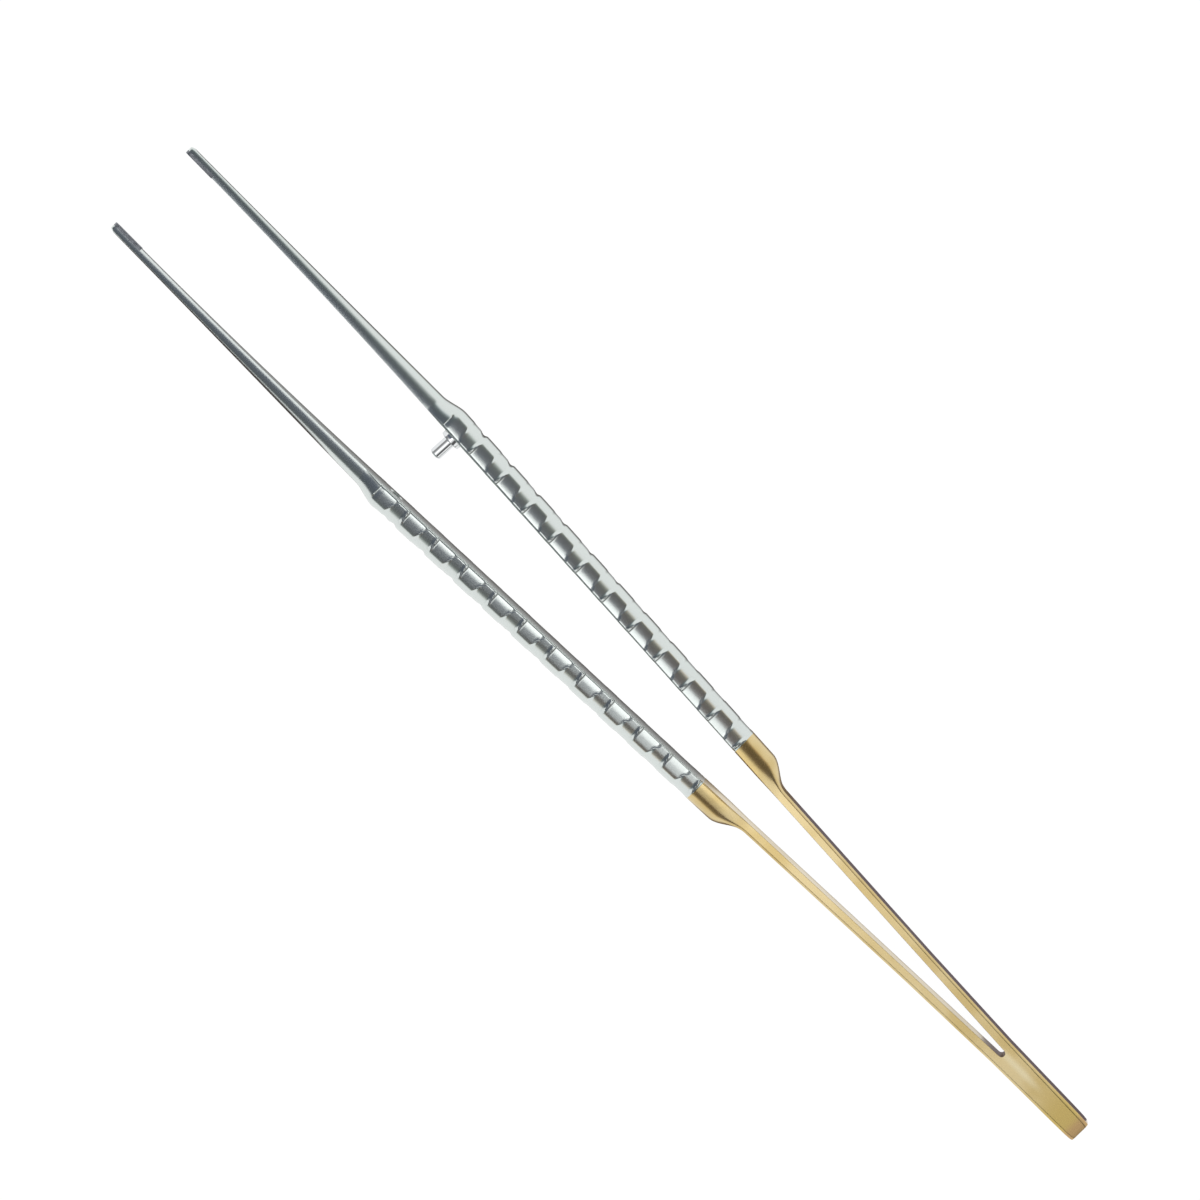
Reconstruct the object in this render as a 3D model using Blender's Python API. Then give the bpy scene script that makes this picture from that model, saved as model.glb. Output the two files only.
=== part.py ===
"""Micro tissue forceps with round fluted handles, lying on its side with the arms open.

X runs from the joined end to the tips, Y is the way the arms open and Z is up from the table.
Each arm is one forging: a carbide-lined tip, a tapered half-round shaft, a half-round handle cut with
staggered flutes, a flat spring leaf and a tail. The two tails are welded into the joined end.
"""

import math

import bmesh
import bpy
import numpy as np
from mathutils import Matrix, Vector

# Lengths along one arm, from the joined end to the tip
JOINED_LENGTH = 0.0178
LEAF_LENGTH = 0.0532
SHOULDER_LENGTH = 0.0058
PLAIN_LENGTH = 0.0045
FLUTE_PITCH = 0.00627
FLUTE_COUNT = 11
FLARE_LENGTH = 0.0040
SHAFT_LENGTH = 0.0557

# The way the arms stand open
ROOT_OPENING = 0.00115
ARM_SPREAD = math.radians(2.6)

# Spring leaf and joined end
LEAF_WIDTH = 0.0060
LEAF_THICKNESS = 0.00145
ROOT_THICKNESS = 0.00160
END_TAPER = 0.00025
EDGE_BEVEL = 0.0004

# Half-round handle and its flutes. The handle starts to narrow a little before its last flute ends.
HANDLE_DIAMETER = 0.0080
FLUTE_DEPTH = 0.00036
FLUTE_ANGLE = math.radians(45.0)
NOTCH_DEPTH = 0.00032
FLARE_LEAD = 0.0008

# Shaft and tip: half width and depth of the section
SHAFT_RADIUS = 0.00300
TIP_HALF_WIDTH = 0.00070
TIP_DEPTH = 0.00140
TIP_ROUNDING = 0.0008

# Carbide insert brazed to each tip
INSERT_LENGTH = 0.0059
INSERT_THICKNESS = 0.00045
INSERT_PROUD = 0.00010

# Guide pin in one arm and the hole for it in the other
PIN_TO_TIP = 0.0620
PIN_DIAMETER = 0.0021
PIN_LENGTH = 0.0033
COLLAR_DIAMETER = 0.0036
COLLAR_THICKNESS = 0.0007
SHANK_DIAMETER = 0.0015
SHANK_LENGTH = 0.0020
HOLE_CLEARANCE = 0.00030

# Clearances between pieces that touch on the real forceps
SEAT_GAP = 0.0003
ROOT_GAP = 0.0003

# Fineness of the lofted arms
AROUND = 24
PER_FLUTE = 10

FLUTED_LENGTH = FLUTE_PITCH * FLUTE_COUNT
LEAF_END = JOINED_LENGTH + LEAF_LENGTH
SHOULDER_END = LEAF_END + SHOULDER_LENGTH
PLAIN_END = SHOULDER_END + PLAIN_LENGTH
HANDLE_END = PLAIN_END + FLUTED_LENGTH
FLARE_END = HANDLE_END + FLARE_LENGTH
OVERALL_LENGTH = FLARE_END + SHAFT_LENGTH
HANDLE_RADIUS = HANDLE_DIAMETER / 2
PIN_STATION = OVERALL_LENGTH - PIN_TO_TIP
HINGE_OFFSET = ROOT_OPENING / 2 + ROOT_THICKNESS / 2


def clear_scene():
    for obj in list(bpy.data.objects):
        bpy.data.objects.remove(obj)


def make_material(name, colour, roughness, metallic):
    material = bpy.data.materials.new(name)
    material.use_nodes = True
    shader = material.node_tree.nodes["Principled BSDF"]
    shader.inputs["Base Color"].default_value = (*colour, 1.0)
    shader.inputs["Roughness"].default_value = roughness
    shader.inputs["Metallic"].default_value = metallic
    return material


def smooth_step(value, low, high):
    t = np.clip((value - low) / (high - low), 0.0, 1.0)
    return t * t * (3 - 2 * t)


def arm_slope(station):
    """The arm's lean away from the middle: steady to the front of the handle, then easing to none at the tip."""
    ease = np.clip((station - HANDLE_END) / (OVERALL_LENGTH - HANDLE_END), 0.0, 1.0)
    return ARM_SPREAD * (1.0 - ease)


def half_opening(station):
    """Distance from the middle plane to the arm's inner flat, the lean added up along the arm."""
    steps = np.linspace(JOINED_LENGTH, station, 80)
    rise = np.tan(arm_slope(steps))
    return ROOT_OPENING / 2 + float(np.sum((rise[1:] + rise[:-1]) / 2 * np.diff(steps)))


def facet(angle, centre, half_angle):
    """Depth share of a crowned facet at an angle: a parabola, full at its centre and none at its borders."""
    return max(0.0, 1.0 - ((angle - centre) / half_angle) ** 2)


def flute_cut(angle, station):
    """Depth cut from the half round. Each pitch starts at the front with a block that has facets between its
    edges: they deepen to the rear and end in a bowed wall. The next block has a facet along each inner edge.
    A short notch in the outer side stands before the wall, deep at the front of the handle and shallow at
    its rear."""
    turns = (HANDLE_END - station) / FLUTE_PITCH
    if turns < 0 or station < PLAIN_END:
        return 0.0
    phase = (turns - 0.45) % 1.0
    from_edge = min(angle, math.pi - angle)
    edge_facets = facet(from_edge, 0.0, FLUTE_ANGLE)
    between = facet(from_edge, FLUTE_ANGLE, FLUTE_ANGLE * 1.1)
    wall = 0.44 - (0.13 if from_edge > FLUTE_ANGLE else 0.05) * abs(from_edge / FLUTE_ANGLE - 1)
    deepen = smooth_step(phase, -0.06, 0.25) * (1 - smooth_step(phase, wall, wall + 0.12))
    block = max(1 - smooth_step(phase, 0.0, 0.10), smooth_step(phase, wall, wall + 0.12))
    notch = smooth_step(min((phase - 0.16) / 0.22, (0.50 - phase) / 0.12), 0.0, 1.0)
    notch *= smooth_step(math.sin(angle), 0.80, 0.97) * (1 - 0.8 * turns / FLUTE_COUNT)
    return float(max(FLUTE_DEPTH * (edge_facets * block + between * deepen), NOTCH_DEPTH * notch))


def leaf_thickness(station):
    middle = JOINED_LENGTH + LEAF_LENGTH * 0.35
    stations = (JOINED_LENGTH, middle, LEAF_END)
    return float(np.interp(station, stations, (ROOT_THICKNESS, LEAF_THICKNESS, LEAF_THICKNESS * 1.06)))


def round_size(station):
    """Half width and depth of the half-round section, from the handle down to the tip."""
    flare = smooth_step(station, HANDLE_END - FLARE_LEAD, FLARE_END)
    along = np.clip((station - FLARE_END) / SHAFT_LENGTH, 0.0, 1.0)
    width = SHAFT_RADIUS + (TIP_HALF_WIDTH - SHAFT_RADIUS) * (1 - (1 - along) ** 1.7)
    depth = SHAFT_RADIUS + (TIP_DEPTH - SHAFT_RADIUS) * (1 - (1 - along) ** 1.8)
    width = HANDLE_RADIUS + (width - HANDLE_RADIUS) * flare
    depth = HANDLE_RADIUS + (depth - HANDLE_RADIUS) * flare
    ending = np.clip((station - OVERALL_LENGTH + TIP_ROUNDING) / TIP_ROUNDING, 0.0, 1.0)
    return width * math.sqrt(1 - 0.90 * ending**2), depth * math.sqrt(1 - 0.40 * ending**2)


def section(station):
    """Outline of one arm at a station: (outward from the inner flat, up) from the top edge to the bottom edge."""
    half_width, depth = round_size(station)
    leaf = 1.0 - smooth_step(station, LEAF_END, SHOULDER_END)
    thickness = leaf_thickness(station)
    points = []
    for step in range(AROUND + 1):
        angle = math.pi * step / AROUND
        cut = flute_cut(angle, station)
        out, up = (depth - cut) * math.sin(angle), (half_width - cut) * math.cos(angle)
        reach = max(abs(math.sin(angle)) / thickness, abs(math.cos(angle)) / (LEAF_WIDTH / 2))
        flat_out, flat_up = math.sin(angle) / reach, math.cos(angle) / reach
        points.append((out + (flat_out - out) * leaf, up + (flat_up - up) * leaf))
    return points


def placed(station, outward, up, side):
    """World point from a station, a distance outward from the arm's inner flat and a height."""
    lean = float(arm_slope(station))
    x = station - math.sin(lean) * outward - OVERALL_LENGTH / 2
    y = half_opening(station) + math.cos(lean) * outward
    return Vector((x, side * y, up + HANDLE_RADIUS))


def arm_stations():
    return np.concatenate([
        np.linspace(JOINED_LENGTH + ROOT_GAP / 2, LEAF_END, 12),
        np.linspace(LEAF_END, SHOULDER_END, 10)[1:],
        np.linspace(SHOULDER_END, PLAIN_END, 4)[1:],
        np.linspace(PLAIN_END, HANDLE_END, PER_FLUTE * FLUTE_COUNT + 1)[1:],
        np.linspace(HANDLE_END, FLARE_END, 9)[1:],
        np.linspace(FLARE_END, OVERALL_LENGTH - TIP_ROUNDING, 16)[1:],
        OVERALL_LENGTH - TIP_ROUNDING * np.array([0.6, 0.3, 0.1, 0.0]),
    ])


def loft(name, rings, material, smooth_angle=25.0, flat_side=False):
    """A closed solid through rings that hold the same number of points. flat_side keeps the side that joins
    each ring's last point to its first free of smooth shading."""
    mesh = bpy.data.meshes.new(name)
    shape = bmesh.new()
    loops = [[shape.verts.new(point) for point in ring] for ring in rings]
    for near, far in zip(loops, loops[1:]):
        for i in range(len(near)):
            j = (i + 1) % len(near)
            side = shape.faces.new((near[i], near[j], far[j], far[i]))
            side.smooth = smooth_angle > 0 and not (flat_side and j == 0)
    shape.faces.new(loops[0])
    shape.faces.new(loops[-1])
    bmesh.ops.recalc_face_normals(shape, faces=shape.faces)
    shape.to_mesh(mesh)
    shape.free()
    mesh.materials.append(material)
    mesh.set_sharp_from_angle(angle=math.radians(smooth_angle))
    obj = bpy.data.objects.new(name, mesh)
    bpy.context.collection.objects.link(obj)
    return obj


def turned(name, profile, material, sides=32):
    """A solid of revolution about its own Z, from (radius, height) pairs."""
    rings = []
    for radius, height in profile:
        turn = [2 * math.pi * i / sides for i in range(sides)]
        rings.append([Vector((radius * math.cos(a), radius * math.sin(a), height)) for a in turn])
    return loft(name, rings, material)


def stand_on_flat(obj, station, side):
    """Turn a piece whose Z points out of the arm's inner flat into its place at a station."""
    lean = float(arm_slope(station))
    inward = Vector((math.sin(lean), -side * math.cos(lean), 0.0))
    turn = inward.to_track_quat("Z", "Y").to_matrix().to_4x4()
    obj.data.transform(Matrix.Translation(placed(station, 0.0, 0.0, side)) @ turn)


def cut_away(body, cutter):
    cutter.hide_render = True
    cutter.display_type = "WIRE"
    cut = body.modifiers.new(cutter.name, "BOOLEAN")
    cut.operation = "DIFFERENCE"
    cut.solver = "EXACT"
    cut.object = cutter


def make_arm(name, side, steel, gold):
    """One forging from the leaf's root to the tip, gold plated up to the first flute."""
    stations = arm_stations()
    rings = [[placed(s, out, up, side) for out, up in section(s)] for s in stations]
    arm = loft(name, rings, steel, flat_side=True)
    arm.data.materials.append(gold)
    plating_edge = PLAIN_END - OVERALL_LENGTH / 2
    for face in arm.data.polygons:
        face.material_index = 1 if face.center.x < plating_edge else 0
    return arm


def insert_seat(name, side, material):
    """Cutter for the shallow step in the tip that the insert is brazed into."""
    start = OVERALL_LENGTH - INSERT_LENGTH - SEAT_GAP
    floor = INSERT_THICKNESS - INSERT_PROUD + SEAT_GAP
    reach = TIP_HALF_WIDTH * 4
    corners = [(-0.001, reach), (floor, reach), (floor, -reach), (-0.001, -reach)]
    stations = (start, OVERALL_LENGTH + 0.001)
    return loft(name, [[placed(s, out, up, side) for out, up in corners] for s in stations], material)


def make_insert(name, side, material):
    """Carbide facing, as wide as the tip it is brazed to and rounded with it at the end."""
    start = OVERALL_LENGTH - INSERT_LENGTH
    steps = 1 - np.array([1.0, 0.75, 0.5, 0.25])
    stations = np.concatenate([
        start + (INSERT_LENGTH - TIP_ROUNDING) * steps,
        OVERALL_LENGTH - TIP_ROUNDING * np.array([1.0, 0.6, 0.3, 0.1, 0.0]),
    ])
    back = INSERT_THICKNESS - INSERT_PROUD
    rings = []
    for station in stations:
        half = round_size(station)[0]
        outline = [(-INSERT_PROUD, half * 0.9), (0.0, half), (back, half)]
        outline += [(out, -up) for out, up in reversed(outline)]
        rings.append([placed(station, out, up, side) for out, up in outline])
    return loft(name, rings, material)


def make_guide_pin(name, material):
    """Pin, collar and the shank pressed into the arm, turned as one piece. Z points to the other arm."""
    shank, collar, pin = SHANK_DIAMETER / 2, COLLAR_DIAMETER / 2, PIN_DIAMETER / 2
    foot, rim = SEAT_GAP, SEAT_GAP + COLLAR_THICKNESS
    edge, lead = COLLAR_THICKNESS * 0.15, PIN_DIAMETER * 0.12
    top = rim + PIN_LENGTH
    profile = [(shank * 0.8, foot - SHANK_LENGTH), (shank, foot - SHANK_LENGTH * 0.9), (shank, foot),
               (collar - edge, foot), (collar, foot + edge), (collar, rim - edge), (collar - edge, rim),
               (pin, rim), (pin, top - lead), (pin - lead, top)]
    return turned(name, profile, material)


def make_joined_end(name, material):
    """The two tails welded and dressed flush into one bar, with bevelled edges and an eased end."""
    rings = []
    full = HINGE_OFFSET + ROOT_THICKNESS / 2
    stop = JOINED_LENGTH - ROOT_GAP / 2
    stations = [0.0, 0.0003, 0.0009, 0.0018, 0.0040, 0.0090, stop]
    eases = [0.22, 0.11, 0.04, 0.01, 0.0, 0.0, 0.0]
    for station, ease in zip(stations, eases):
        half = (full - END_TAPER * (1 - station / stop)) * (1 - ease)
        high = LEAF_WIDTH / 2 * (1 - ease / 2)
        bevel = EDGE_BEVEL * (1.15 - 0.6 * station / stop)
        corners = [(half - bevel, high), (half, high - bevel)]
        corners += [(y, -z) for y, z in reversed(corners)]
        corners += [(-y, z) for y, z in reversed(corners)]
        x = station - OVERALL_LENGTH / 2
        rings.append([Vector((x, y, z + HANDLE_RADIUS)) for y, z in corners])
    return loft(name, rings, material, smooth_angle=0.0)


def slot_cutter(name, material):
    """The round end of the slot between the leaves."""
    cutter = turned(name, [(ROOT_OPENING / 2, -LEAF_WIDTH), (ROOT_OPENING / 2, LEAF_WIDTH)], material)
    x = JOINED_LENGTH - ROOT_GAP / 2 - OVERALL_LENGTH / 2
    cutter.data.transform(Matrix.Translation((x, 0.0, HANDLE_RADIUS)))
    return cutter


def drill(name, diameter, low, high, station, side, material):
    """Round cutter along a line square to the arm's inner flat, heights measured out of the flat."""
    cutter = turned(name, [(diameter / 2, low), (diameter / 2, high)], material)
    stand_on_flat(cutter, station, side)
    return cutter


def build():
    clear_scene()
    steel = make_material("satin_steel", (0.62, 0.64, 0.65), 0.24, 1.0)
    gold = make_material("gold_plating", (0.82, 0.65, 0.33), 0.26, 1.0)
    bright = make_material("polished_steel", (0.74, 0.76, 0.78), 0.12, 1.0)
    carbide = make_material("carbide", (0.16, 0.17, 0.18), 0.55, 0.8)
    guide = make_material("cutting_guide", (0.9, 0.3, 0.2), 0.5, 0.0)

    end = make_joined_end("joined_end", gold)
    cut_away(end, slot_cutter("slot_end", guide))

    hinge_x = JOINED_LENGTH - OVERALL_LENGTH / 2
    for name, side in (("pin_arm", -1), ("hole_arm", 1)):
        arm = make_arm(name, side, steel, gold)
        cut_away(arm, insert_seat(name + "_seat", side, guide))
        if side < 0:
            socket = SHANK_DIAMETER + 2 * SEAT_GAP
            cut_away(arm, drill("pin_socket", socket, -SHANK_LENGTH - SEAT_GAP, 0.001, PIN_STATION, side, guide))
            pin = make_guide_pin("guide_pin", bright)
            stand_on_flat(pin, PIN_STATION, side)
        else:
            hole = PIN_DIAMETER + HOLE_CLEARANCE
            cut_away(arm, drill("pin_hole", hole, -HANDLE_DIAMETER, 0.002, PIN_STATION, side, guide))
        insert = make_insert(name + "_insert", side, carbide)
        hinge = bpy.data.objects.new(name + "_hinge", None)
        hinge.location = (hinge_x, side * HINGE_OFFSET, HANDLE_RADIUS)
        bpy.context.collection.objects.link(hinge)
        bpy.context.view_layer.update()
        for piece in (arm, insert) if side > 0 else (arm, insert, pin):
            piece.parent = hinge
            piece.matrix_parent_inverse = hinge.matrix_world.inverted()


build()
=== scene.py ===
"""Looks of the micro tissue forceps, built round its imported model.

X runs from the joined end to the tips, Y is the way the arms open and Z is up. A station is a distance
along one arm from the joined end. Outward is measured from an arm's inner flat, away from the other arm.
"""

import math

import bmesh
import bpy
import numpy as np
from mathutils import Matrix, Vector


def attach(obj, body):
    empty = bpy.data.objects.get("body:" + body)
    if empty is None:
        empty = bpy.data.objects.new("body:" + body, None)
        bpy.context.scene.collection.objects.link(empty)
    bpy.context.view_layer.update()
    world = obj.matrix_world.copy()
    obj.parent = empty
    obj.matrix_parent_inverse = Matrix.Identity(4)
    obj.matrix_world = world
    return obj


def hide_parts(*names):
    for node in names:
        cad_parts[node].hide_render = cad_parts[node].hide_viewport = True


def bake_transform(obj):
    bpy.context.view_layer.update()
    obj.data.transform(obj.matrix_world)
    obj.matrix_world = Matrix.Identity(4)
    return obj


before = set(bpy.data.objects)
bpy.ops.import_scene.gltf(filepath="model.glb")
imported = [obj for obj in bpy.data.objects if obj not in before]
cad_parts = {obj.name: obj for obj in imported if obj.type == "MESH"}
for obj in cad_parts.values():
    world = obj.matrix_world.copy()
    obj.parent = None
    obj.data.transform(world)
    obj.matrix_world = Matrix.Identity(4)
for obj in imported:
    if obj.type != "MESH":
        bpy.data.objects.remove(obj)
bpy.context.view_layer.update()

# Lengths along one arm, the same as in the solid model, in metres
JOINED_LENGTH = 0.0178
LEAF_LENGTH = 0.0532
SHOULDER_LENGTH = 0.0058
PLAIN_LENGTH = 0.0045
FLUTE_PITCH = 0.00627
FLUTE_COUNT = 11
FLARE_LENGTH = 0.0040
SHAFT_LENGTH = 0.0557

LEAF_END = JOINED_LENGTH + LEAF_LENGTH
SHOULDER_END = LEAF_END + SHOULDER_LENGTH
PLAIN_END = SHOULDER_END + PLAIN_LENGTH
HANDLE_END = PLAIN_END + FLUTE_PITCH * FLUTE_COUNT
FLARE_END = HANDLE_END + FLARE_LENGTH
OVERALL_LENGTH = FLARE_END + SHAFT_LENGTH

# Opening, leaf, handle, shaft and tip
ROOT_OPENING = 0.00115
ARM_SPREAD = math.radians(2.6)
LEAF_WIDTH = 0.0060
LEAF_THICKNESS = 0.00145
ROOT_THICKNESS = 0.00160
THINNEST_SHARE = 0.35
LEAF_END_SWELL = 1.06
END_TAPER = 0.00025
HANDLE_RADIUS = 0.0040
FLARE_LEAD = 0.0008
SHAFT_RADIUS = 0.00300
WIDTH_TAPER, DEPTH_TAPER = 1.7, 1.8
TIP_HALF_WIDTH = 0.00070
TIP_DEPTH = 0.00140
TIP_ROUNDING = 0.0008
TIP_WIDTH_LOSS, TIP_DEPTH_LOSS = 0.90, 0.40

# Carbide facing, guide pin and its hole
INSERT_LENGTH = 0.0059
INSERT_THICKNESS = 0.00045
INSERT_PROUD = 0.00010
PIN_STATION = OVERALL_LENGTH - 0.0620
PIN_DIAMETER = 0.0021
PIN_LENGTH = 0.0033
COLLAR_DIAMETER = 0.0036
COLLAR_FOOT = 0.0003
COLLAR_RIM = 0.0010
HOLE_DIAMETER = 0.0024

# Edges. The inner edge's chamfer and its turn into the round are given at four stations
EDGE_BREAK = 0.00042
EDGE_TURN = 0.15
INNER_STATIONS = (LEAF_END, SHOULDER_END, HANDLE_END, FLARE_END)
INNER_CHAMFER = (0.00004, 0.00020, 0.00036, 0.00003)
INNER_TURN = (0.00003, 0.00006, 0.00020, 0.00002)
FULL_CHAMFER_WIDTH = 0.0025

# An arm's first rings lie inside the bar, drawn in by these factors, so that no two skins share a place
BAR_END = JOINED_LENGTH - 0.00015
DEEP_INSIDE, JUST_INSIDE = 0.97, 0.999

# Stretch of the leaf near its root; each arm's points at its two ends are placed below
BEND_START = JOINED_LENGTH + 0.0008
BEND_END = JOINED_LENGTH + 0.0128

# Flutes. Places in one pitch are shares of it, from its front to its rear
FACET_DEPTH = 0.00036
BETWEEN_ANGLE = math.radians(50.0)
SOFT_BORDER = 0.03
FIRST_PITCH = 0.45
BETWEEN_STARTS = (-0.04, 0.09)
BETWEEN_ENDS = (0.41, 0.55)
EDGE_STARTS = (0.45, 0.56)
WALL_BOW = (-0.13, -0.03)
NOSE_NARROWS = (-0.01, 0.18)
NOSE_RUNS_OUT = (0.07, 0.21)
NOSE_NARROWING = 0.8
NOTCH_DEPTH = 0.00032
NOTCH_FRONT, NOTCH_RISE = 0.16, 0.22
NOTCH_REAR, NOTCH_FALL = 0.50, 0.12
NOTCH_REACH = (0.80, 0.97)
NOTCH_FADE = 0.8

PIN_SIDE, HOLE_SIDE = -1, 1


def smooth_step(value, low, high):
    t = np.clip((value - low) / (high - low), 0.0, 1.0)
    return t * t * (3 - 2 * t)


def lean(station):
    """Lean of an arm from the middle plane: steady up to the front of the handle, then easing to none."""
    ease = np.clip((station - HANDLE_END) / (OVERALL_LENGTH - HANDLE_END), 0.0, 1.0)
    return ARM_SPREAD * (1.0 - ease)


OPENING_STATIONS = np.linspace(JOINED_LENGTH, OVERALL_LENGTH, 4001)
OPENING_RISE = np.tan(lean(OPENING_STATIONS))
OPENING = ROOT_OPENING / 2 + np.concatenate([
    [0.0], np.cumsum((OPENING_RISE[1:] + OPENING_RISE[:-1]) / 2 * np.diff(OPENING_STATIONS))])


def half_opening(station):
    """Distance from the middle plane to the inner flat, the lean added up along the arm."""
    return np.interp(station, OPENING_STATIONS, OPENING)


def placed(station, outward, up, side):
    """World points from stations, outward distances and heights, as one array of the same shape."""
    tilt = lean(station)
    x = station - np.sin(tilt) * outward - OVERALL_LENGTH / 2
    y = side * (half_opening(station) + np.cos(tilt) * outward)
    z = up + HANDLE_RADIUS
    return np.stack(np.broadcast_arrays(x, y, z), axis=-1)


def round_size(station):
    """Half width and depth of the half round: the handle, a quick flare, then a taper that slows to the tip,
    1 - (1 - t)^n of the way, and a rounding at the very end, times sqrt(1 - loss t^2)."""
    flare = smooth_step(station, HANDLE_END - FLARE_LEAD, FLARE_END)
    along = np.clip((station - FLARE_END) / SHAFT_LENGTH, 0.0, 1.0)
    width = SHAFT_RADIUS + (TIP_HALF_WIDTH - SHAFT_RADIUS) * (1 - (1 - along) ** WIDTH_TAPER)
    depth = SHAFT_RADIUS + (TIP_DEPTH - SHAFT_RADIUS) * (1 - (1 - along) ** DEPTH_TAPER)
    width = HANDLE_RADIUS + (width - HANDLE_RADIUS) * flare
    depth = HANDLE_RADIUS + (depth - HANDLE_RADIUS) * flare
    ending = np.clip((station - OVERALL_LENGTH + TIP_ROUNDING) / TIP_ROUNDING, 0.0, 1.0)
    return width * np.sqrt(1 - TIP_WIDTH_LOSS * ending**2), depth * np.sqrt(1 - TIP_DEPTH_LOSS * ending**2)


def facet(angle, centre, half_angle):
    """How deep a crowned facet is cut at an angle: a parabola whose borders run out softly into the round,
    (v + sqrt(v^2 + s)) / 2 for the parabola's value v and a small s."""
    value = 1 - ((angle - centre) / half_angle) ** 2
    return (value + np.sqrt(value**2 + SOFT_BORDER)) / 2


def flute_cut(angle, station):
    """Depth cut from the half round, pitch by pitch from the front of the handle to its rear. Facets between
    the inner edges and the outer side deepen from the start of a pitch and end in a bowed wall near its
    middle. There a facet starts along each inner edge, which runs into the next pitch and out in a narrowing
    nose. A short notch in the outer side stands before the wall, and is shallower towards the rear."""
    turns = (HANDLE_END - station) / FLUTE_PITCH
    phase = (turns - FIRST_PITCH) % 1.0
    place = np.where(phase > 0.9, phase - 1, phase)
    quarter = math.pi / 4
    from_edge = np.minimum(angle, math.pi - angle)
    bow = np.where(from_edge > quarter, *WALL_BOW) * np.abs(from_edge - quarter) / quarter
    from_wall = place - bow
    nose = place < 0.3
    narrow = np.where(nose, smooth_step(place, *NOSE_NARROWS), 0.0)
    edge_depth = np.where(nose, 1 - smooth_step(place, *NOSE_RUNS_OUT), smooth_step(from_wall, *EDGE_STARTS))
    edge_facets = facet(from_edge, 0.0, quarter * (1 - NOSE_NARROWING * narrow)) * edge_depth
    between_depth = smooth_step(place, *BETWEEN_STARTS) * (1 - smooth_step(from_wall, *BETWEEN_ENDS))
    between = facet(from_edge, quarter, BETWEEN_ANGLE) * between_depth
    along = np.clip(turns / FLUTE_COUNT, 0.0, 1.0)
    notch = np.minimum((phase - NOTCH_FRONT) / NOTCH_RISE, (NOTCH_REAR - phase) / NOTCH_FALL)
    notch = smooth_step(notch, 0.0, 1.0) * smooth_step(np.sin(angle), *NOTCH_REACH)
    notch = notch * NOTCH_DEPTH * (1 - NOTCH_FADE * along)
    cut = np.maximum(FACET_DEPTH * np.maximum(edge_facets, between), notch)
    fluted = (station > PLAIN_END) & (turns > -0.05)
    return np.where(fluted, cut, 0.0)


def curve_points(start, corner, end, shares):
    """Points on the quadratic curve that leaves start towards corner and arrives at end from corner."""
    return [(1 - t) ** 2 * start + 2 * t * (1 - t) * corner + t**2 * end for t in shares]


def broken_edge(thickness, high, bevel):
    """Quarter outline of a flat bar, from the middle of its top edge face round to the middle of its side:
    straight, a small turn, the broken edge, a small turn, straight. Each input has one value a ring."""
    turn = bevel * EDGE_TURN
    slant = turn / math.sqrt(2)
    corner_one = (thickness - bevel, high)
    corner_two = (thickness, high - bevel)
    start_one, end_one = (thickness - bevel - turn, high), (thickness - bevel + slant, high - slant)
    start_two, end_two = (thickness - slant, high - bevel + slant), (thickness, high - bevel - turn)

    def turned_corner(start, corner, end):
        """The middle of the quadratic curve that rounds a corner."""
        return tuple(0.25 * a + 0.5 * b + 0.25 * c for a, b, c in zip(start, corner, end))

    halfway = tuple((a + b) / 2 for a, b in zip(end_one, start_two))
    return [start_one, turned_corner(start_one, corner_one, end_one), end_one, halfway,
            start_two, turned_corner(start_two, corner_two, end_two), end_two]


TOP_POINTS, SIDE_POINTS = 12, 17
TOP_HOLD, SIDE_HOLD = 0.965, 0.97


def flat_outline(inner, thickness, high, bevel):
    """Outer half outline of a flat bar, from its top inner edge over the outside to its bottom inner edge.
    A point close before each turn holds the face beside it flat."""
    keys = broken_edge(thickness, high, bevel)
    top_shares = np.append(np.linspace(0.0, 1.0, TOP_POINTS)[:-2], TOP_HOLD)
    side_shares = np.append(SIDE_HOLD, np.linspace(1.0, 0.0, SIDE_POINTS)[2:])
    points = [(inner + (keys[0][0] - inner) * t, high + 0 * inner) for t in top_shares] + keys
    points += [(thickness, keys[-1][1] * t) for t in side_shares]
    out = np.stack([point[0] for point in points], axis=-1)
    up = np.stack([point[1] for point in points], axis=-1)
    return (np.concatenate([out, out[..., -2::-1]], axis=-1),
            np.concatenate([up, -up[..., -2::-1]], axis=-1))


def leaf_thickness(station):
    """Thickness of a spring leaf: thickest at its root, thinnest about a third of the way along."""
    thinnest = JOINED_LENGTH + LEAF_LENGTH * THINNEST_SHARE
    return np.interp(station, (JOINED_LENGTH, thinnest, LEAF_END),
                     (ROOT_THICKNESS, LEAF_THICKNESS, LEAF_THICKNESS * LEAF_END_SWELL))


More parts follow.
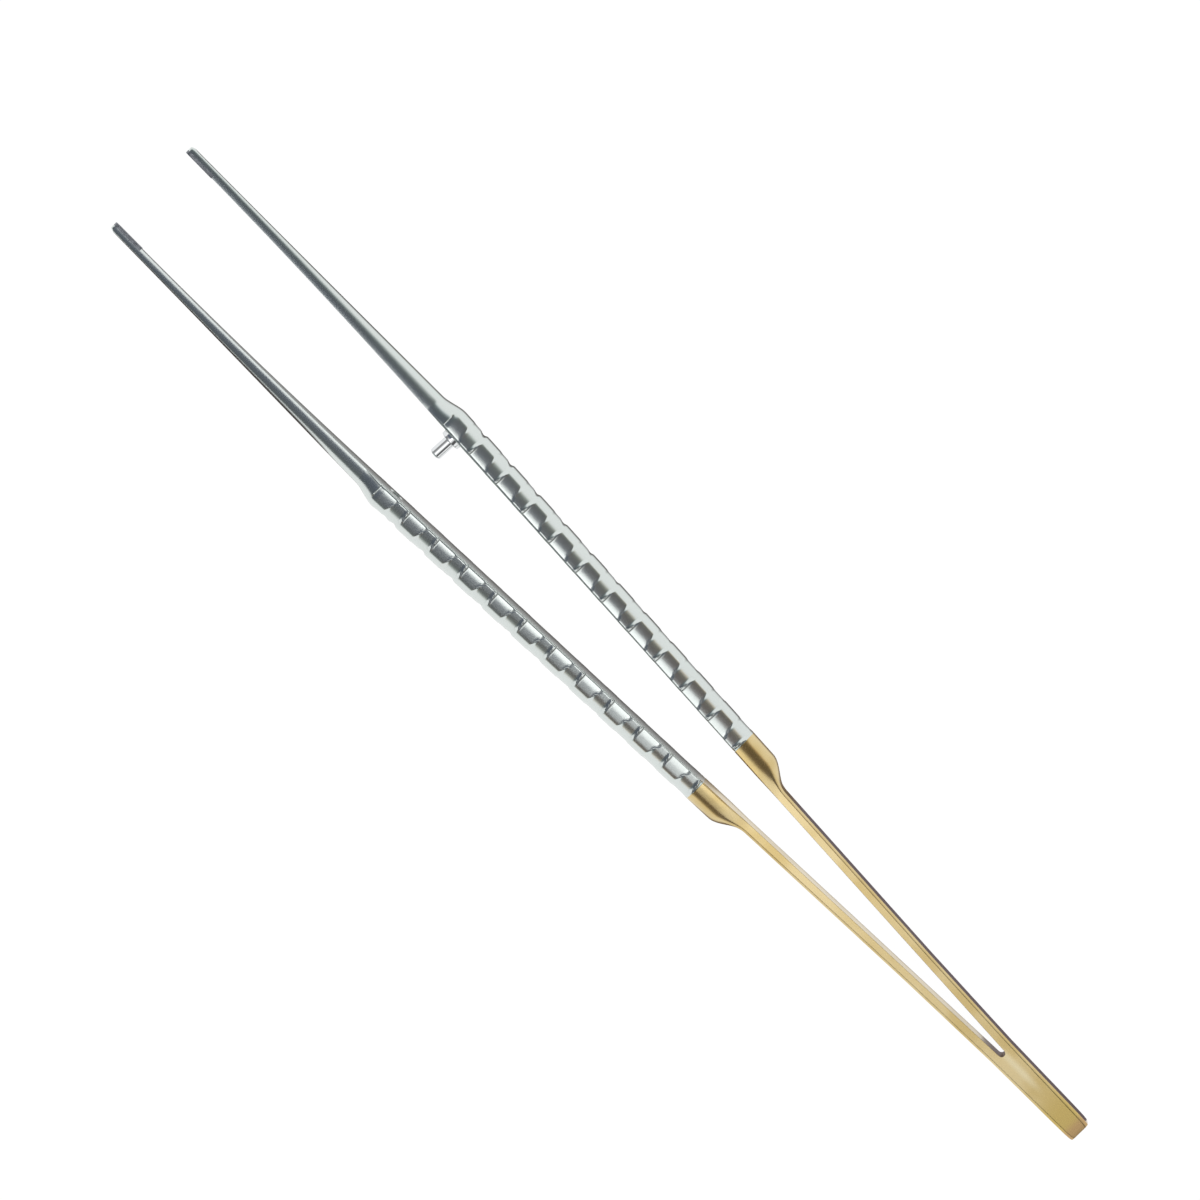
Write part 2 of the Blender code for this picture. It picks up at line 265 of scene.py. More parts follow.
def arm_outline(station):
    """Closed outline of an arm at each station, as (outward, up): a fluted half round that turns into a flat
    leaf towards the joined end, with a chamfered inner edge, stepped back for the facing at the tip and
    drawn in a little where it runs into the joined end."""
    half_width, depth = round_size(station)
    leaf = (1.0 - smooth_step(station, LEAF_END, SHOULDER_END))[:, None]
    small = np.minimum(1.0, half_width / FULL_CHAMFER_WIDTH)
    chamfer = small * np.interp(station, INNER_STATIONS, INNER_CHAMFER)
    turning = small * np.interp(station, INNER_STATIONS, INNER_TURN)
    first_out = chamfer + turning
    flat_out, flat_up = flat_outline(first_out, leaf_thickness(station),
                                     np.full_like(station, LEAF_WIDTH / 2),
                                     np.full_like(station, EDGE_BREAK))
    count = flat_out.shape[1]
    first = np.arcsin(first_out / depth)[:, None]
    angle = first + (math.pi - 2 * first) * np.linspace(0.0, 1.0, count)
    cut = flute_cut(angle, station[:, None])
    out = (depth[:, None] - cut) * np.sin(angle)
    up = (half_width[:, None] - cut) * np.cos(angle)
    outer = np.stack([out + (flat_out - out) * leaf, up + (flat_up - up) * leaf], axis=-1)

    def inner_edge(first, second):
        """From the inner flat over the chamfer to the first point of the outside, with both turns eased."""
        inward = (first - second) / np.linalg.norm(first - second, axis=-1, keepdims=True)
        crest = first + inward * turning[:, None]
        foot = np.stack([0 * crest[:, 0], crest[:, 1] - np.sign(crest[:, 1]) * crest[:, 0]], axis=-1)
        slope = (crest - foot) / np.linalg.norm(crest - foot, axis=-1, keepdims=True)
        eased = chamfer * 0.25
        drop = np.stack([0 * chamfer, -np.sign(foot[:, 1]) * eased], axis=-1)
        foot_end = foot + slope * eased[:, None]
        crest_start = crest - slope * np.minimum(turning, chamfer * 0.5)[:, None]
        points = curve_points(foot + drop, foot, foot_end, (0.0, 0.5, 1.0))
        points += [(foot_end + crest_start) / 2]
        points += curve_points(crest_start, crest, first, (0.0, 0.25, 0.5, 0.75))
        return np.stack(points, axis=1)

    top = inner_edge(outer[:, 0], outer[:, 1])
    low = inner_edge(outer[:, -1], outer[:, -2])[:, ::-1]
    across = np.concatenate([[0.008, 0.02], np.linspace(0.07, 0.93, 15), [0.98, 0.992]])[None, :, None]
    face = low[:, -1:] + (top[:, :1] - low[:, -1:]) * across
    outline = np.concatenate([top, outer, low, face], axis=1)
    seat = np.where(station > OVERALL_LENGTH - INSERT_LENGTH, INSERT_THICKNESS - INSERT_PROUD, 0.0)[:, None]
    out, up = np.maximum(outline[..., 0], seat), outline[..., 1]
    inside = np.where(station < BAR_END - 0.0001, DEEP_INSIDE, JUST_INSIDE)
    drawn_in = np.where(station < BAR_END, inside, 1.0)[:, None]
    middle = ROOT_THICKNESS / 2
    return middle + (out - middle) * drawn_in, up * drawn_in


def tip_stations():
    """Stations of the rings round a tip's rounded end, closer together towards the end."""
    return OVERALL_LENGTH - TIP_ROUNDING * (1 - np.sin(np.linspace(0.0, math.pi / 2, 9)))[1:]


def arm_stations():
    """Stations of an arm's rings: close together where the shape turns quickly."""
    seat_step = OVERALL_LENGTH - INSERT_LENGTH
    step_width = 0.00003
    past_shoulder = SHOULDER_END + 0.001
    past_flutes = HANDLE_END + 0.2 * FLUTE_PITCH
    return np.concatenate([
        [BAR_END - 0.0006, BAR_END - 0.00012],
        np.linspace(BAR_END - 0.00001, LEAF_END - 0.002, 60),
        np.linspace(LEAF_END - 0.002, past_shoulder, 44)[1:],
        np.linspace(past_shoulder, PLAIN_END, 10)[1:],
        np.linspace(PLAIN_END, past_flutes, 48 * FLUTE_COUNT + 10)[1:],
        np.linspace(past_flutes, FLARE_END, 16)[1:],
        np.linspace(FLARE_END, seat_step - step_width, 44)[1:],
        [seat_step, seat_step + step_width],
        np.linspace(seat_step + 0.0004, OVERALL_LENGTH - TIP_ROUNDING, 8),
        tip_stations(),
    ])


def ring_faces(count, around):
    """Numbers of the points in rings, shape (rings, points round), and the faces between the rings."""
    index = np.arange(count * around).reshape(count, around)
    near, far = index[:-1], index[1:]
    quads = np.stack([near, np.roll(near, -1, 1), np.roll(far, -1, 1), far], axis=-1).reshape(-1, 4)
    return index, quads.tolist()


def closed_mesh(name, rings, sharp=40.0):
    """A closed skin over rings of points, shape (rings, points round, 3), with a face at each end."""
    index, faces = ring_faces(*rings.shape[:2])
    return finished_mesh(name, rings.reshape(-1, 3), faces + [index[0].tolist(), index[-1].tolist()], sharp)


def finished_mesh(name, points, faces, sharp):
    """A mesh object at the origin with its faces pointing outwards, smooth but for edges past an angle."""
    mesh = bpy.data.meshes.new(name)
    mesh.from_pydata(points.tolist(), [], faces)
    shape = bmesh.new()
    shape.from_mesh(mesh)
    bmesh.ops.recalc_face_normals(shape, faces=shape.faces)
    shape.to_mesh(mesh)
    shape.free()
    mesh.polygons.foreach_set("use_smooth", np.ones(len(mesh.polygons), bool))
    mesh.set_sharp_from_angle(angle=math.radians(sharp))
    obj = bpy.data.objects.new(name, mesh)
    bpy.context.collection.objects.link(obj)
    return obj


def turned(name, profile, station, side, sides=72):
    """A solid of revolution standing on an arm's inner flat: (radius, height out of the flat) pairs."""
    radius, height = np.array(profile, float).T
    turn = np.linspace(0.0, 2 * math.pi, sides, endpoint=False)
    local = np.stack([radius[:, None] * np.cos(turn), radius[:, None] * np.sin(turn),
                      np.repeat(height[:, None], sides, axis=1)], axis=-1)
    tilt = float(lean(station))
    inward = np.array([math.sin(tilt), -side * math.cos(tilt), 0.0])
    along = np.array([math.cos(tilt), side * math.sin(tilt), 0.0])
    high = np.array([0.0, 0.0, 1.0])
    foot = placed(np.array(station), np.array(0.0), np.array(0.0), side)
    return closed_mesh(name, foot + local[..., :1] * along + local[..., 1:2] * high + local[..., 2:] * inward)


def rounded_profile(corners, rounding, steps=5):
    """Turns each inner corner of a (radius, height) profile into a small curve: a quadratic from a point
    before the corner to a point after it."""
    result = [corners[0]]
    for before, corner, after, reach in zip(corners, corners[1:], corners[2:], rounding):
        before, corner, after = (np.array(p, float) for p in (before, corner, after))
        start = corner + (before - corner) * min(0.5, reach / np.linalg.norm(before - corner))
        end = corner + (after - corner) * min(0.5, reach / np.linalg.norm(after - corner))
        result += [tuple(point) for point in curve_points(start, corner, end, np.linspace(0.0, 1.0, steps))]
    result.append(corners[-1])
    return result


def cut_from(obj, cutter):
    """Takes a cutter away from a piece and keeps the result as the piece's own mesh."""
    cut = obj.modifiers.new("cut", "BOOLEAN")
    cut.operation, cut.solver, cut.object = "DIFFERENCE", "EXACT", cutter
    bpy.context.view_layer.update()
    made = bpy.data.meshes.new_from_object(obj.evaluated_get(bpy.context.evaluated_depsgraph_get()))
    obj.modifiers.clear()
    obj.data = made
    bpy.data.objects.remove(cutter)


# Shading groups

def new_group(name, inputs, outputs):
    group = bpy.data.node_groups.new(name, "ShaderNodeTree")
    for label, kind, value in inputs:
        socket = group.interface.new_socket(label, in_out="INPUT", socket_type=kind)
        socket.default_value = value
    for label, kind in outputs:
        group.interface.new_socket(label, in_out="OUTPUT", socket_type=kind)
    return group, group.nodes.new("NodeGroupInput"), group.nodes.new("NodeGroupOutput")


def feed(tree, socket, value):
    """Links a socket to another node's output, or sets it to a plain value."""
    if isinstance(value, bpy.types.NodeSocket):
        tree.links.new(value, socket)
    else:
        socket.default_value = value


def math_node(tree, operation, first, second=None, third=None):
    node = tree.nodes.new("ShaderNodeMath")
    node.operation = operation
    for socket, value in zip(node.inputs, (first, second, third)):
        if value is not None:
            feed(tree, socket, value)
    return node.outputs[0]


def noise_node(tree, vector, scale, detail=3.0, roughness=0.55):
    node = tree.nodes.new("ShaderNodeTexNoise")
    for label, value in (("Vector", vector), ("Scale", scale), ("Detail", detail), ("Roughness", roughness)):
        feed(tree, node.inputs[label], value)
    return node.outputs["Fac"]


def place_group(tree, group, values):
    node = tree.nodes.new("ShaderNodeGroup")
    node.node_tree = group
    for label, value in values.items():
        feed(tree, node.inputs[label], value)
    return node


def colour_mix(tree, factor, first, second, kind="MIX"):
    node = tree.nodes.new("ShaderNodeMix")
    node.data_type, node.blend_type = "RGBA", kind
    feed(tree, node.inputs[0], factor)
    for socket, value in ((node.inputs[6], first), (node.inputs[7], second)):
        feed(tree, socket, value if isinstance(value, bpy.types.NodeSocket) else (*value, 1.0))
    return node.outputs[2]


def ramp_node(tree, value, low, high):
    """From 0, where a value is low, smoothly to 1, where it is high. High may be the smaller number."""
    node = tree.nodes.new("ShaderNodeMapRange")
    node.interpolation_type = "SMOOTHSTEP"
    node.inputs["From Min"].default_value, node.inputs["From Max"].default_value = low, high
    tree.links.new(value, node.inputs["Value"])
    return node.outputs[0]


GRAIN_SCALE = 9000.0


def make_satin_group():
    """Satin metal: a fine even grain, drawn out a little along the forceps, and broad faint clouds where
    hands and cloths have passed. Gives a shade to multiply the colour, a roughness and a grain height."""
    group, given, result = new_group(
        "satin_metal",
        [("Vector", "NodeSocketVector", (0, 0, 0)), ("Grain Scale", "NodeSocketFloat", GRAIN_SCALE),
         ("Shade Amount", "NodeSocketFloat", 0.10), ("Roughness", "NodeSocketFloat", 0.2),
         ("Roughness Amount", "NodeSocketFloat", 0.06)],
        [("Shade", "NodeSocketFloat"), ("Roughness", "NodeSocketFloat"), ("Height", "NodeSocketFloat")])
    stretch = group.nodes.new("ShaderNodeMapping")
    stretch.inputs["Scale"].default_value = (0.35, 1.0, 1.0)
    group.links.new(given.outputs["Vector"], stretch.inputs["Vector"])
    grain = noise_node(group, stretch.outputs[0], given.outputs["Grain Scale"], 2.0)
    clouds = noise_node(group, given.outputs["Vector"], 420.0, 4.0, 0.6)
    grain_part = math_node(group, "MULTIPLY", grain, 0.6)
    cloud_part = math_node(group, "MULTIPLY", clouds, 0.4)
    centred = math_node(group, "SUBTRACT", math_node(group, "ADD", grain_part, cloud_part), 0.5)
    shade = math_node(group, "MULTIPLY_ADD", centred, given.outputs["Shade Amount"], 1.0)
    rough = math_node(group, "MULTIPLY_ADD", centred, given.outputs["Roughness Amount"],
                      given.outputs["Roughness"])
    for label, value in (("Shade", shade), ("Roughness", rough), ("Height", grain)):
        group.links.new(value, result.inputs[label])
    return group


# Gold: its clouds, a painted highlight down the middle of the bar, and painted shade in two deeper tones
# near the end, with the places along X, measured from the end, where each comes in
GOLD_DEEP, GOLD_PALE = (0.64, 0.49, 0.22), (0.74, 0.60, 0.33)
GOLD_PAINTED_HIGHLIGHT, HIGHLIGHT_SHARE, HIGHLIGHT_HALF_WIDTH = (0.86, 0.77, 0.52), 0.6, 0.0009
HIGHLIGHT_RISE, HIGHLIGHT_FALL = (0.007, 0.013), (0.022, 0.016)
# Painted shade: two deeper tones towards the bar's free end and over its eased end
GOLD_PAINTED_SHADE_NEAR_END, SHADE_NEAR_END_X = (0.60, 0.45, 0.16), (0.012, 0.004)
GOLD_PAINTED_SHADE_AT_END, SHADE_AT_END_X = (0.54, 0.36, 0.17), (0.0026, 0.0010)


def gold_colour_and_painted_light(tree, place):
    """Gold plating's colour: broad paler and deeper clouds, and painted light on the joined bar: a painted
    highlight from the slot's end down its middle, and painted shade in two deeper tones towards the end of
    the forceps."""
    clouds = ramp_node(tree, noise_node(tree, place, 160.0, 2.0, 0.5), 0.32, 0.68)
    parts = tree.nodes.new("ShaderNodeSeparateXYZ")
    tree.links.new(place, parts.inputs[0])

    def along(low, high):
        """0 to 1 between two distances from the end of the forceps."""
        return ramp_node(tree, parts.outputs[0], low - OVERALL_LENGTH / 2, high - OVERALL_LENGTH / 2)

    # Painted highlight: a pale band along the middle of the bar, round the slot's end and down the bar
    off_middle = math_node(tree, "ABSOLUTE", math_node(tree, "ADD", parts.outputs[1], 0.0002))
    highlight_near_middle = ramp_node(tree, off_middle, HIGHLIGHT_HALF_WIDTH, 0.0)
    painted_highlight = math_node(tree, "MULTIPLY", highlight_near_middle, along(*HIGHLIGHT_RISE))
    painted_highlight = math_node(tree, "MULTIPLY", painted_highlight, along(*HIGHLIGHT_FALL))
    colour = colour_mix(tree, clouds, GOLD_DEEP, GOLD_PALE)
    colour = colour_mix(tree, math_node(tree, "MULTIPLY", painted_highlight, HIGHLIGHT_SHARE), colour, GOLD_PAINTED_HIGHLIGHT)
    # Painted shade: the bar darkens in two steps towards its free end and over its eased end
    colour = colour_mix(tree, along(*SHADE_NEAR_END_X), colour, GOLD_PAINTED_SHADE_NEAR_END)
    return colour_mix(tree, along(*SHADE_AT_END_X), colour, GOLD_PAINTED_SHADE_AT_END)


def drawn_normal(tree, amount):
    """Normal of a skin polished along its length: reflections are drawn out along X, so an amount of 1 takes
    most of the slope along X out of the normal, and 0 takes none."""
    keep = tree.nodes.new("ShaderNodeCombineXYZ")
    keep.inputs["Y"].default_value = keep.inputs["Z"].default_value = 1.0
    tree.links.new(math_node(tree, "MULTIPLY_ADD", amount, -0.85, 1.0), keep.inputs["X"])
    less = tree.nodes.new("ShaderNodeVectorMath")
    less.operation = "MULTIPLY"
    tree.links.new(tree.nodes.new("ShaderNodeNewGeometry").outputs["Normal"], less.inputs[0])
    tree.links.new(keep.outputs[0], less.inputs[1])
    unit = tree.nodes.new("ShaderNodeVectorMath")
    unit.operation = "NORMALIZE"
    tree.links.new(less.outputs[0], unit.inputs[0])
    return unit.outputs[0]


def new_metal(name, satin, grain_scale, shade, roughness, roughness_amount):
    """A new material, its place coordinate and the satin group in it."""
    material = bpy.data.materials.new(name)
    material.use_nodes = True
    tree = material.node_tree
    place = tree.nodes.new("ShaderNodeTexCoord").outputs["Object"]
    look = place_group(tree, satin, {"Vector": place, "Grain Scale": grain_scale, "Shade Amount": shade,
                                     "Roughness": roughness, "Roughness Amount": roughness_amount})
    return material, tree, place, look


def finish_metal(tree, look, base, metallic, bump, depth):
    """Joins a base colour and the satin group's shade, roughness and grain to the shader. Gives the bump."""
    shader = tree.nodes["Principled BSDF"]
    grey = tree.nodes.new("ShaderNodeCombineColor")
    for socket in grey.inputs[:3]:
        tree.links.new(look.outputs["Shade"], socket)
    tree.links.new(colour_mix(tree, 1.0, base, grey.outputs[0], "MULTIPLY"), shader.inputs["Base Color"])
    tree.links.new(look.outputs["Roughness"], shader.inputs["Roughness"])
    shader.inputs["Metallic"].default_value = metallic
    grain = tree.nodes.new("ShaderNodeBump")
    grain.inputs["Strength"].default_value = bump
    grain.inputs["Distance"].default_value = depth
    tree.links.new(look.outputs["Height"], grain.inputs["Height"])
    tree.links.new(grain.outputs[0], shader.inputs["Normal"])
    return grain


EDGE_WANDER = 0.00012


def metal(name, satin, colour, roughness, shade=0.10, bump=0.02, gold_edge=None):
    """Satin metal in one colour, or gold where the colour is None. Up to a gold edge, a place along X, it is
    gold as well, and the edge wanders a little."""
    material, tree, place, look = new_metal(name, satin, GRAIN_SCALE, shade, roughness, roughness * 0.35)
    base, gold_share = colour, None
    if colour is None:
        base, gold_share = gold_colour_and_painted_light(tree, place), 1.0
    elif gold_edge is not None:
        parts = tree.nodes.new("ShaderNodeSeparateXYZ")
        tree.links.new(place, parts.inputs[0])
        wander = noise_node(tree, place, 1500.0, 2.0)
        shifted = math_node(tree, "MULTIPLY_ADD", wander, EDGE_WANDER, parts.outputs[0])
        gold_share = math_node(tree, "LESS_THAN", shifted, gold_edge + EDGE_WANDER / 2)
        base = colour_mix(tree, gold_share, colour, gold_colour_and_painted_light(tree, place))
    grain = finish_metal(tree, look, base, 1.0, bump, 0.0001)
    if gold_share is not None:
        tree.links.new(drawn_normal(tree, gold_share), grain.inputs["Normal"])
    return material


def carbide_material(satin):
    """Dark sintered carbide: blotches of two greys under a rough, grainy skin."""
    material, tree, place, look = new_metal("rough_carbide", satin, 6000.0, 0.6, 0.42, 0.35)
    blotch = noise_node(tree, place, 1900.0, 3.0, 0.6)
    sharp = tree.nodes.new("ShaderNodeMapRange")
    sharp.inputs["From Min"].default_value = 0.42
    sharp.inputs["From Max"].default_value = 0.58
    tree.links.new(blotch, sharp.inputs["Value"])
    base = colour_mix(tree, sharp.outputs[0], (0.21, 0.22, 0.24), (0.30, 0.315, 0.34))
    finish_metal(tree, look, base, 0.9, 0.35, 0.00004)
    return material


# Pieces

def make_arm(name, side, material):
    stations = arm_stations()
    out, up = arm_outline(stations)
    arm = closed_mesh(name, placed(stations[:, None], out, up, side), sharp=32.0)
    arm.data.materials.append(material)
    return arm


def make_facing(name, side, material):
    """Carbide facing: a thin pad as wide as the tip, with eased edges, rounded with the tip at its end."""
    start = OVERALL_LENGTH - INSERT_LENGTH + 0.00004
    stations = np.concatenate([
        [start], start + np.array([0.00006, 0.00015]),
        np.linspace(start + 0.0004, OVERALL_LENGTH - TIP_ROUNDING, 30),
        tip_stations(),
    ])
    sunk, ease, inset = 0.0001, 0.00009, 0.0002
    back = INSERT_THICKNESS - INSERT_PROUD + sunk
    half_width, depth = round_size(stations)
    half = half_width * np.sqrt(1 - (inset / depth) ** 2)
    eased = np.ones_like(stations)
    eased[:2] = 0.3, 0.8
    keys = [(-INSERT_PROUD, 0.0, 1.0), (-INSERT_PROUD, 1.0, 1.0), (-INSERT_PROUD + ease * 0.3, 1.0, 0.3),
            (-INSERT_PROUD + ease, 1.0, 0.0), (sunk, 1.0, 0.0), (back, 1.0, 0.0)]
    outs, ups = [], []
    for out, reach, pull in keys:
        outs.append(np.where(out < 0, out * eased, out) + 0 * stations)
        ups.append(reach * (half - ease * pull))
    outs, ups = np.stack(outs, 1), np.stack(ups, 1)
    out = np.concatenate([outs, outs[:, :0:-1]], axis=1)
    up = np.concatenate([ups, -ups[:, :0:-1]], axis=1)
    facing = closed_mesh(name, placed(stations[:, None], out, up, side), sharp=35.0)
    facing.data.materials.append(material)
    return facing


# Easing of the bar at its free end, as shares of its size at distances from that end
BAR_EASE_AT = (0.0, 0.0003, 0.0009, 0.0018, 0.0040)
BAR_EASE = (0.09, 0.045, 0.018, 0.006, 0.0)
SLOT_POINTS = 14


def make_bar(name, material):
    """Joined end: a flat bar with broken edges, eased at its free end, whose other end is hollowed by the
    round end of the slot. Rows run from the free end to a curve: x = stop - sqrt(r^2 - y^2) in the slot."""
    shares = np.concatenate([[0.0, 0.008, 0.02, 0.04, 0.07, 0.11], np.linspace(0.16, 1.0, 26)])
    ease = np.interp(shares * BAR_END, BAR_EASE_AT, BAR_EASE)
    radius = ROOT_OPENING / 2
    half = (radius + ROOT_THICKNESS - END_TAPER * (1 - shares)) * (1 - ease)
    high = LEAF_WIDTH / 2 * (1 - ease * 0.7)
    bevel = np.interp(shares, (0.0, 1.0), (EDGE_BREAK * 1.35, EDGE_BREAK))
    out, up = flat_outline(np.zeros_like(half), half, high, bevel)
    turn = np.linspace(0.0, 1.0, SLOT_POINTS) * math.pi / 2
    over_slot = np.repeat(np.sin(turn)[None] * radius, len(half), 0)
    level = np.repeat(high[:, None], SLOT_POINTS, 1)
    past_slot = np.searchsorted(out[0], radius * 1.15)
    right_out = np.concatenate([over_slot, out[:, past_slot:-past_slot], over_slot[:, ::-1]], axis=1)
    right_up = np.concatenate([level, up[:, past_slot:-past_slot], -level], axis=1)
    across = np.concatenate([right_out, -right_out[:, -2:0:-1]], axis=1)
    heights = np.concatenate([right_up, right_up[:, -2:0:-1]], axis=1)
    hollow = np.sqrt(np.clip(radius**2 - across**2, 0.0, None))
    reach = np.where(np.abs(across) < radius, BAR_END - hollow, BAR_END)
    x = shares[:, None] * reach - OVERALL_LENGTH / 2
    rings = np.stack([x, across, heights + HANDLE_RADIUS], axis=-1)
    index, faces = ring_faces(*rings.shape[:2])
    last, size, inner = index[-1], right_out.shape[1], SLOT_POINTS - 1
    right_top, right_low = last[:inner + 1], last[size - inner - 1:size][::-1]
    left_top = np.concatenate([last[:1], last[::-1][:inner]])
    left_low = last[size - 1:size + inner]
    for top, low in ((right_top, right_low), (left_top, left_low)):
        faces += np.stack([top[:-1], top[1:], low[1:], low[:-1]], axis=-1).tolist()
    faces += [last[inner:size - inner].tolist(), last[size + inner - 1:len(last) - inner + 1].tolist()]
    bar = finished_mesh(name, rings.reshape(-1, 3), faces + [index[0].tolist()], 32.0)
    bar.data.materials.append(material)
    return bar


def make_pin(name, material):
    """Guide pin: a collar with eased rims, a straight pin and a small lead at its end."""
    pin, collar, neck, axis = PIN_DIAMETER / 2, COLLAR_DIAMETER / 2, COLLAR_DIAMETER / 2 * 0.9, 0.00001
    top = COLLAR_RIM + PIN_LENGTH
    corners = [(axis, -COLLAR_FOOT), (neck, -COLLAR_FOOT), (neck, 0.00008), (collar, 0.00012),
               (collar, COLLAR_RIM), (pin, COLLAR_RIM), (pin, top - 0.00025), (pin - 0.0003, top),
               (axis, top)]
    profile = rounded_profile(corners, [0.00002, 0.00002, 0.00005, 0.00016, 0.0001, 0.00006, 0.00006])
    obj = turned(name, profile, PIN_STATION, PIN_SIDE)
    obj.data.materials.append(material)
    return obj


def make_hole_cutter():
    """Cutter for the pin's hole, a little wider at both mouths so the hole's edges are broken."""
    radius, rim = HOLE_DIAMETER / 2, 0.00016
    depth = HANDLE_RADIUS
    past = 0.001
    profile = [(radius + rim + past, past), (radius + rim, 0.0), (radius, -rim),
               (radius, -depth + rim * 2.4), (radius + rim + past, -depth - past + rim * 1.4)]
    return turned("hole_cutter", profile, PIN_STATION, HOLE_SIDE)


satin = make_satin_group()
plating_edge = PLAIN_END - OVERALL_LENGTH / 2
arm_metal = metal("satin_steel_gold_end", satin, (0.69, 0.735, 0.715), 0.21, gold_edge=plating_edge)
gold_metal = metal("gold_plating_satin", satin, None, 0.21)
pin_metal = metal("polished_steel_pin", satin, (0.78, 0.80, 0.81), 0.08, bump=0.005, shade=0.04)
carbide = carbide_material(satin)

bar = make_bar("joined_bar", gold_metal)
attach(bar, "joined_end")
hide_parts("joined_end")

for name, side in (("pin_arm", PIN_SIDE), ("hole_arm", HOLE_SIDE)):
    arm = make_arm(name + "_forging", side, arm_metal)
    if side == HOLE_SIDE:
        cut_from(arm, make_hole_cutter())
        arm.data.set_sharp_from_angle(angle=math.radians(32.0))
    root = placed(np.array(BEND_START), np.array(0.0), np.array(0.0), side)
    reach = placed(np.array(BEND_END), np.array(0.0), np.array(0.0), side)
    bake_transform(arm)
    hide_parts(name)
    facing = make_facing(name + "_facing", side, carbide)
    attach(facing, name)
    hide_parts(name + "_insert")

pin = make_pin("guide_pin_turned", pin_metal)
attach(pin, "pin_arm")
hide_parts("guide_pin")


# Studio

def ray_mask(tree, names):
    """1 for the named kinds of ray and 0 for others."""
    path = tree.nodes.new("ShaderNodeLightPath")
    total = path.outputs[names[0]]
    for name in names[1:]:
        total = math_node(tree, "MAXIMUM", total, path.outputs[name])
    return total


def make_world():
    """Pure white to the camera and in the metal, and a dimmer, cooler sky for the light on the table."""
    world = bpy.data.worlds.new("studio")
    bpy.context.scene.world = world
    world.use_nodes = True
    tree = world.node_tree
    tree.nodes.clear()
    seen = tree.nodes.new("ShaderNodeBackground")
    seen.inputs["Color"].default_value = (1.0, 1.0, 1.0, 1.0)
    seen.inputs["Strength"].default_value = 1.0
    lit = tree.nodes.new("ShaderNodeBackground")
    lit.inputs["Color"].default_value = (0.97, 0.985, 1.0, 1.0)
    lit.inputs["Strength"].default_value = 0.75
    mix = tree.nodes.new("ShaderNodeMixShader")
    tree.links.new(ray_mask(tree, ["Is Camera Ray", "Is Glossy Ray", "Is Transmission Ray"]), mix.inputs[0])
    tree.links.new(lit.outputs[0], mix.inputs[1])
    tree.links.new(seen.outputs[0], mix.inputs[2])
    output = tree.nodes.new("ShaderNodeOutputWorld")
    tree.links.new(mix.outputs[0], output.inputs[0])


def stage_mesh(name, points, material):
    """A sheet of studio kit from a grid of points, shape (rows, columns, 3)."""
    rows, columns = points.shape[:2]
    index = np.arange(rows * columns).reshape(rows, columns)
    quads = np.stack([index[:-1, :-1], index[1:, :-1], index[1:, 1:], index[:-1, 1:]], -1).reshape(-1, 4)
    mesh = bpy.data.meshes.new(name)
    mesh.from_pydata(points.reshape(-1, 3).tolist(), [], quads.tolist())
    mesh.materials.append(material)
    obj = bpy.data.objects.new(name, mesh)
    bpy.context.collection.objects.link(obj)
    return obj


def empty_material(name):
    material = bpy.data.materials.new(name)
    material.use_nodes = True
    material.node_tree.nodes.clear()
    return material, material.node_tree, material.node_tree.nodes.new("ShaderNodeOutputMaterial")


def attribute_node(tree, name):
    node = tree.nodes.new("ShaderNodeAttribute")
    node.attribute_name = name
    return node


def set_points(sheet, name, values):
    """Gives each point of a sheet a number, or a colour where the values have four parts each."""
    kind, field = ("FLOAT", "value") if values.ndim == 1 else ("FLOAT_COLOR", "color")
    layer = sheet.data.attributes.new(name, kind, "POINT")
    layer.data.foreach_set(field, values.astype(np.float32).ravel())


def colours_at(places, key_places, key_colours):
    """Colours with a fourth part of 1 at many places, run between those given at a few places."""
    channels = [np.interp(places, key_places, channel) for channel in np.array(key_colours, float).T]
    return np.stack(channels + [np.ones_like(places)], axis=-1)


FLOOR_GLOW = 1.06
FLOOR_SEEN_SHARE, FLOOR_METAL_SHARE = 0.92, 0.8
FLOOR_HALF_SIZE = 3.0


def make_floor():
    """White table, nearly white to the camera and in the metal, with the object's faint shadow."""
    material, tree, output = empty_material("white_table")
    paper = tree.nodes.new("ShaderNodeBsdfDiffuse")
    paper.inputs["Color"].default_value = (0.94, 0.94, 0.94, 1.0)
    glow = tree.nodes.new("ShaderNodeEmission")
    glow.inputs["Color"].default_value = (1.0, 1.0, 1.0, 1.0)
    glow.inputs["Strength"].default_value = FLOOR_GLOW
    seen = math_node(tree, "MULTIPLY", ray_mask(tree, ["Is Camera Ray"]), FLOOR_SEEN_SHARE)
    in_metal = ray_mask(tree, ["Is Glossy Ray", "Is Transmission Ray"])
    in_metal = math_node(tree, "MULTIPLY", in_metal, FLOOR_METAL_SHARE)
    mix = tree.nodes.new("ShaderNodeMixShader")
    tree.links.new(math_node(tree, "ADD", seen, in_metal), mix.inputs[0])
    tree.links.new(paper.outputs[0], mix.inputs[1])
    tree.links.new(glow.outputs[0], mix.inputs[2])
    tree.links.new(mix.outputs[0], output.inputs[0])
    size = FLOOR_HALF_SIZE
    corners = np.array([[(-size, -size, 0.0), (-size, size, 0.0)], [(size, -size, 0.0), (size, size, 0.0)]])
    stage_mesh("table", corners, material)


def only_in_metal(obj):
    """Hides a piece of studio kit from all but the reflections in the forceps."""
    obj.visible_camera = False
    obj.visible_diffuse = False
    obj.visible_shadow = False
    obj.visible_transmission = False


